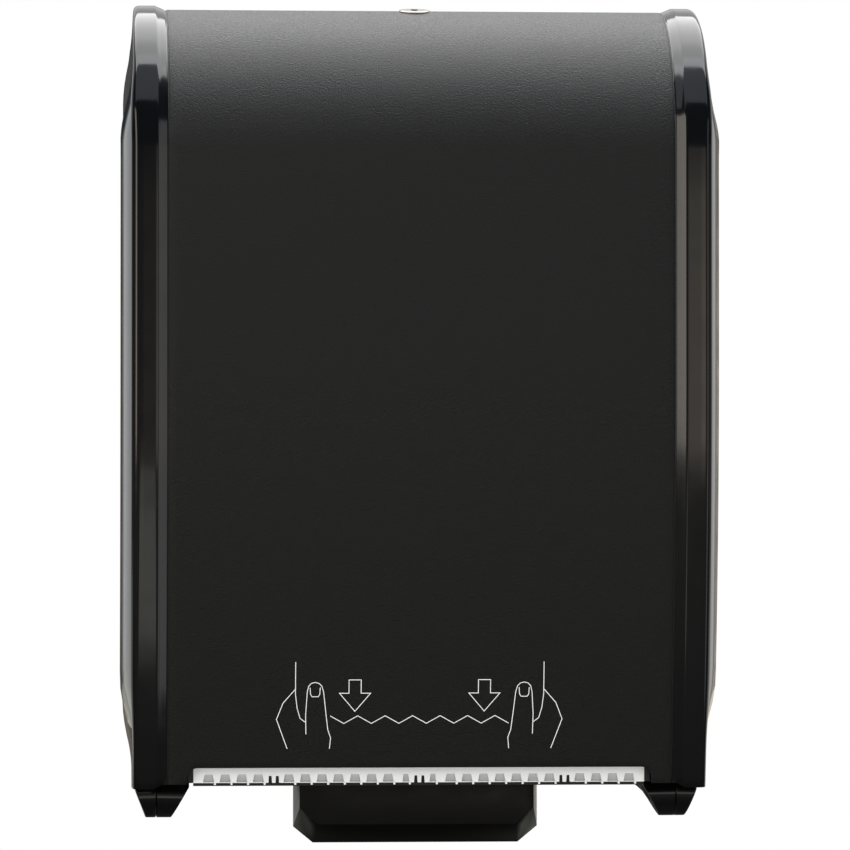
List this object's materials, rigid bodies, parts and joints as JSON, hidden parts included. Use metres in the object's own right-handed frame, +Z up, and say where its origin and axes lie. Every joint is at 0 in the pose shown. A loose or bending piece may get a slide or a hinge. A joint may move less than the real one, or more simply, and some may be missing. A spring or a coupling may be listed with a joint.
{
  "type": "touchless roll towel dispenser",
  "caption": "Wall-mounted roll towel dispenser with a hinged front cover and key lock, a driven drum with a hidden knife, a feed lever, an exit comb and arms for the roll.",
  "frame": {"origin": "middle of the four wall screws, on the back face that meets the wall", "axes": "+X to the viewer's right, +Y into the wall, +Z up"},
  "size_m": [0.2972, 0.236, 0.4196],
  "materials": {
    "cover_black": "injection moulded ABS, gloss rails and sides, fine texture on the front panel",
    "housing_black": "injection moulded ABS, fine texture",
    "lever_black": "injection moulded ABS, gloss",
    "guide_black": "injection moulded ABS",
    "comb_frosted": "frosted translucent polypropylene",
    "frame_steel": "zinc plated sheet steel",
    "screw_steel": "zinc plated screw",
    "pin_steel": "ground bright steel",
    "spring_steel": "drawn spring wire",
    "blade_steel": "hardened stainless strip",
    "drum_grey": "moulded ABS",
    "acetal_grey": "moulded acetal",
    "acetal_white": "moulded acetal",
    "hub_grey": "moulded polypropylene",
    "band_rubber": "moulded elastomer",
    "lock_zinc": "nickel plated zinc die casting"
  },
  "bodies": {
    "wall_frame": {"rear_housing": "housing_black", "left_side_frame": "frame_steel", "right_side_frame": "frame_steel", "frame_screws": "screw_steel", "drum_bushes": "acetal_white", "left_knife_cam": "acetal_grey", "right_knife_cam": "acetal_grey", "drum_guard": "guide_black", "towel_guide_comb": "comb_frosted", "rear_guide": "guide_black", "spring_posts": "pin_steel", "lock_keeper": "frame_steel", "left_roll_arm": "guide_black", "right_arm_bracket": "guide_black", "right_arm_pin": "pin_steel", "assist_spring": "spring_steel", "lever_return_spring": "spring_steel", "pinch_springs": "spring_steel", "right_arm_spring": "spring_steel"},
    "cover": {"front_cover": "cover_black", "cover_hinge_pins": "pin_steel", "lock_housing": "guide_black"},
    "lock": {"lock_barrel": "lock_zinc", "lock_cam": "lock_zinc", "lock_screw": "screw_steel"},
    "drum": {"drum_shell": "drum_grey", "left_drum_cap": "drum_grey", "right_drum_cap": "drum_grey", "drum_shaft": "pin_steel", "grip_bands": "band_rubber", "ratchet_wheel": "acetal_grey", "crank_disc": "acetal_grey", "shaft_clips": "spring_steel"},
    "knife": {"knife_bar": "frame_steel", "knife_blade": "blade_steel", "knife_rollers": "acetal_white"},
    "lever": {"feed_lever": "lever_black", "pawl_pin": "pin_steel"},
    "pawl": {"pawl": "acetal_grey"},
    "pinch_carriage": {"pinch_blocks": "acetal_white"},
    "pinch_roller": {"pinch_shaft": "pin_steel", "pinch_rollers": "band_rubber"},
    "left_hub": {"left_roll_hub": "hub_grey"},
    "right_arm": {"right_roll_arm": "guide_black"},
    "right_hub": {"right_roll_hub": "hub_grey"}
  },
  "joints": [
    {"name": "cover_hinge", "type": "hinge", "parent": "wall_frame", "child": "cover", "pos_m": [0, -0.182, -0.197], "axis": [1, 0, 0], "range_deg": [0, 100]},
    {"name": "lock_turn", "type": "hinge", "parent": "cover", "child": "lock", "pos_m": [0, -0.1737, 0.19589], "axis": [0, -0.1736, 0.9848], "range_deg": [-90, 0]},
    {"name": "drum_spin", "type": "hinge", "parent": "wall_frame", "child": "drum", "pos_m": [0, -0.164, -0.132], "axis": [1, 0, 0], "continuous": true, "deforming": ["assist_spring"]},
    {"name": "knife_slide", "type": "slide", "parent": "drum", "child": "knife", "axis": [0, 1, 0], "range_m": [0, 0.012]},
    {"name": "lever_push", "type": "hinge", "parent": "wall_frame", "child": "lever", "pos_m": [0, -0.164, -0.132], "axis": [1, 0, 0], "range_deg": [0, 22.5], "stiffness_Nm_per_rad": 0.06, "springref_deg": -40.11, "deforming": ["lever_return_spring"]},
    {"name": "pawl_swing", "type": "hinge", "parent": "lever", "child": "pawl", "pos_m": [0, -0.16714, -0.16786], "axis": [1, 0, 0], "range_deg": [0, 5.5]},
    {"name": "pinch_lift", "type": "slide", "parent": "wall_frame", "child": "pinch_carriage", "axis": [0, 0.342, 0.9397], "range_m": [0, 0.0025], "stiffness_N_per_m": 1500, "springref_m": -0.004, "deforming": ["pinch_springs"]},
    {"name": "pinch_spin", "type": "hinge", "parent": "pinch_carriage", "child": "pinch_roller", "pos_m": [0, -0.14714, -0.08567], "axis": [1, 0, 0], "continuous": true},
    {"name": "left_hub_spin", "type": "hinge", "parent": "wall_frame", "child": "left_hub", "pos_m": [-0.098, -0.117, 0.088], "axis": [1, 0, 0], "continuous": true},
    {"name": "right_arm_swing", "type": "hinge", "parent": "wall_frame", "child": "right_arm", "pos_m": [0.1065, -0.013, 0.088], "axis": [0, 0, 1], "range_deg": [0, 12], "stiffness_Nm_per_rad": 0.4, "springref_deg": -14.32, "deforming": ["right_arm_spring"]},
    {"name": "right_hub_spin", "type": "hinge", "parent": "right_arm", "child": "right_hub", "pos_m": [0.098, -0.117, 0.088], "axis": [1, 0, 0], "continuous": true}
  ],
  "couplings": [
    {"joint": "pinch_spin", "follows": "drum_spin", "ratio": -4.4444}
  ]
}
